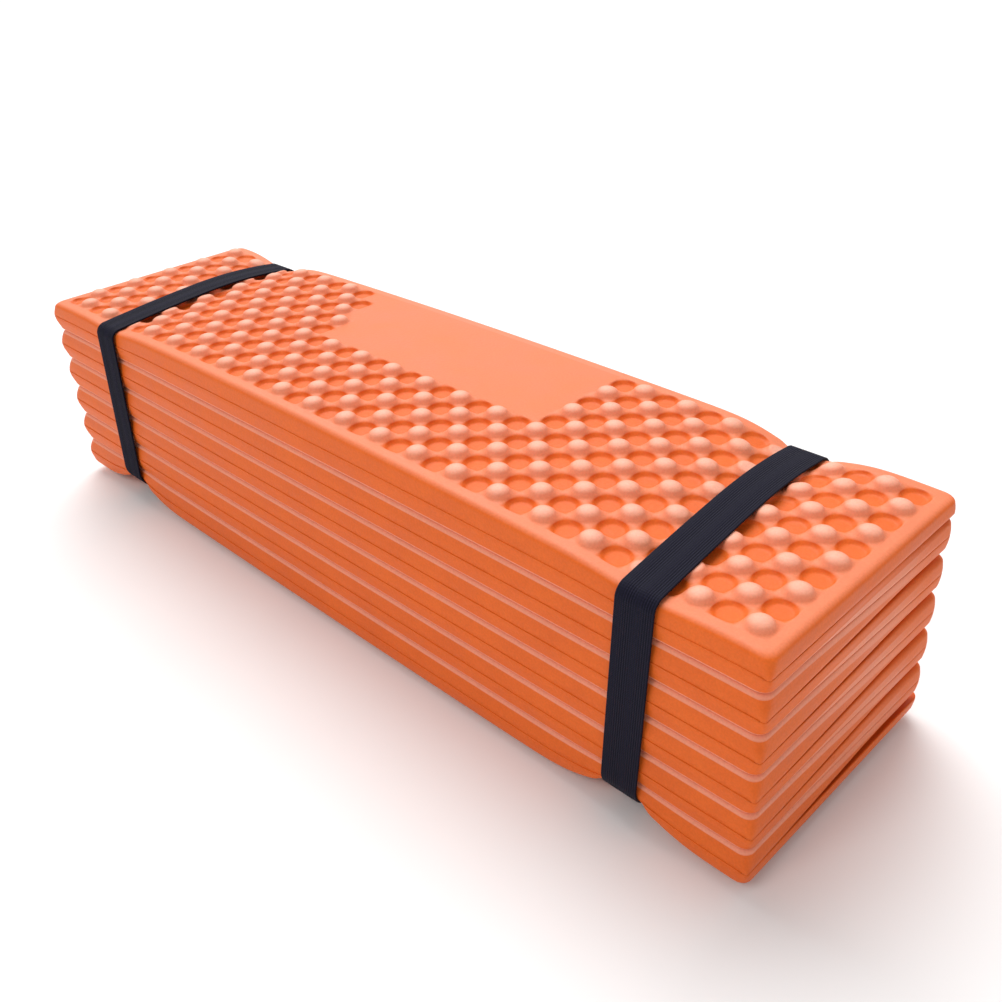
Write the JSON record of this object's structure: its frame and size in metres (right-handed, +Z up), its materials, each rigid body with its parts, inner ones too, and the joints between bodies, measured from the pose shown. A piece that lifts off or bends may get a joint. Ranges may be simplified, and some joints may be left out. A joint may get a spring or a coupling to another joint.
{
  "type": "folding foam sleeping pad",
  "caption": "Egg-crate foam sleeping pad, accordion-folded into a stack of panels and held shut by two elastic straps.",
  "frame": {"origin": "under the middle of the folded stack, on the surface it rests on", "axes": "+X along the folds, +Y across a panel, away from the edge with the odd folds, +Z up through the stack"},
  "size_m": [0.57, 0.1602, 0.136],
  "materials": {
    "foam": "matte closed-cell foam",
    "elastic": "woven elastic",
    "thread": "polyester thread"
  },
  "bodies": {
    "panel_01": {"panel_01": "foam", "fold_web_01": "foam"},
    "panel_02": {"panel_02": "foam", "fold_web_02": "foam"},
    "panel_03": {"panel_03": "foam", "fold_web_03": "foam"},
    "panel_04": {"panel_04": "foam", "fold_web_04": "foam"},
    "panel_05": {"panel_05": "foam", "fold_web_05": "foam"},
    "panel_06": {"panel_06": "foam", "fold_web_06": "foam"},
    "panel_07": {"panel_07": "foam", "fold_web_07": "foam"},
    "panel_08": {"panel_08": "foam", "fold_web_08": "foam"},
    "panel_09": {"panel_09": "foam", "fold_web_09": "foam"},
    "panel_10": {"panel_10": "foam", "fold_web_10": "foam"},
    "panel_11": {"panel_11": "foam", "fold_web_11": "foam"},
    "panel_12": {"panel_12": "foam"},
    "strap_left": {"strap_left": "elastic", "strap_left_stitching": "thread"},
    "strap_right": {"strap_right": "elastic", "strap_right_stitching": "thread"}
  },
  "joints": [
    {"name": "fold_01", "type": "hinge", "parent": "panel_01", "child": "panel_02", "pos_m": [0, -0.0775, 0.0145], "axis": [1, 0, 0], "range_deg": [0, 180]},
    {"name": "fold_02", "type": "hinge", "parent": "panel_02", "child": "panel_03", "pos_m": [0, 0.0775, 0.0252], "axis": [1, 0, 0], "range_deg": [-180, 0]},
    {"name": "fold_03", "type": "hinge", "parent": "panel_03", "child": "panel_04", "pos_m": [0, -0.0775, 0.0359], "axis": [1, 0, 0], "range_deg": [0, 180]},
    {"name": "fold_04", "type": "hinge", "parent": "panel_04", "child": "panel_05", "pos_m": [0, 0.0775, 0.0466], "axis": [1, 0, 0], "range_deg": [-180, 0]},
    {"name": "fold_05", "type": "hinge", "parent": "panel_05", "child": "panel_06", "pos_m": [0, -0.0775, 0.0573], "axis": [1, 0, 0], "range_deg": [0, 180]},
    {"name": "fold_06", "type": "hinge", "parent": "panel_06", "child": "panel_07", "pos_m": [0, 0.0775, 0.068], "axis": [1, 0, 0], "range_deg": [-180, 0]},
    {"name": "fold_07", "type": "hinge", "parent": "panel_07", "child": "panel_08", "pos_m": [0, -0.0775, 0.0787], "axis": [1, 0, 0], "range_deg": [0, 180]},
    {"name": "fold_08", "type": "hinge", "parent": "panel_08", "child": "panel_09", "pos_m": [0, 0.0775, 0.0894], "axis": [1, 0, 0], "range_deg": [-180, 0]},
    {"name": "fold_09", "type": "hinge", "parent": "panel_09", "child": "panel_10", "pos_m": [0, -0.0775, 0.1001], "axis": [1, 0, 0], "range_deg": [0, 180]},
    {"name": "fold_10", "type": "hinge", "parent": "panel_10", "child": "panel_11", "pos_m": [0, 0.0775, 0.1108], "axis": [1, 0, 0], "range_deg": [-180, 0]},
    {"name": "fold_11", "type": "hinge", "parent": "panel_11", "child": "panel_12", "pos_m": [0, -0.0775, 0.1215], "axis": [1, 0, 0], "range_deg": [0, 180]},
    {"name": "strap_left_slide", "type": "slide", "parent": "panel_01", "child": "strap_left", "axis": [-1, 0, 0], "range_m": [0, 0.11], "deforming": ["strap_left", "strap_left_stitching"]},
    {"name": "strap_right_slide", "type": "slide", "parent": "panel_01", "child": "strap_right", "axis": [1, 0, 0], "range_m": [0, 0.11], "deforming": ["strap_right", "strap_right_stitching"]}
  ],
  "couplings": [
    {"joint": "fold_02", "follows": "fold_01", "ratio": -1},
    {"joint": "fold_03", "follows": "fold_01", "ratio": 1},
    {"joint": "fold_04", "follows": "fold_01", "ratio": -1},
    {"joint": "fold_05", "follows": "fold_01", "ratio": 1},
    {"joint": "fold_06", "follows": "fold_01", "ratio": -1},
    {"joint": "fold_07", "follows": "fold_01", "ratio": 1},
    {"joint": "fold_08", "follows": "fold_01", "ratio": -1},
    {"joint": "fold_09", "follows": "fold_01", "ratio": 1},
    {"joint": "fold_10", "follows": "fold_01", "ratio": -1},
    {"joint": "fold_11", "follows": "fold_01", "ratio": 1},
    {"joint": "strap_left_slide", "follows": "fold_01", "m_per_rad": 0.035},
    {"joint": "strap_right_slide", "follows": "fold_01", "m_per_rad": 0.035}
  ]
}
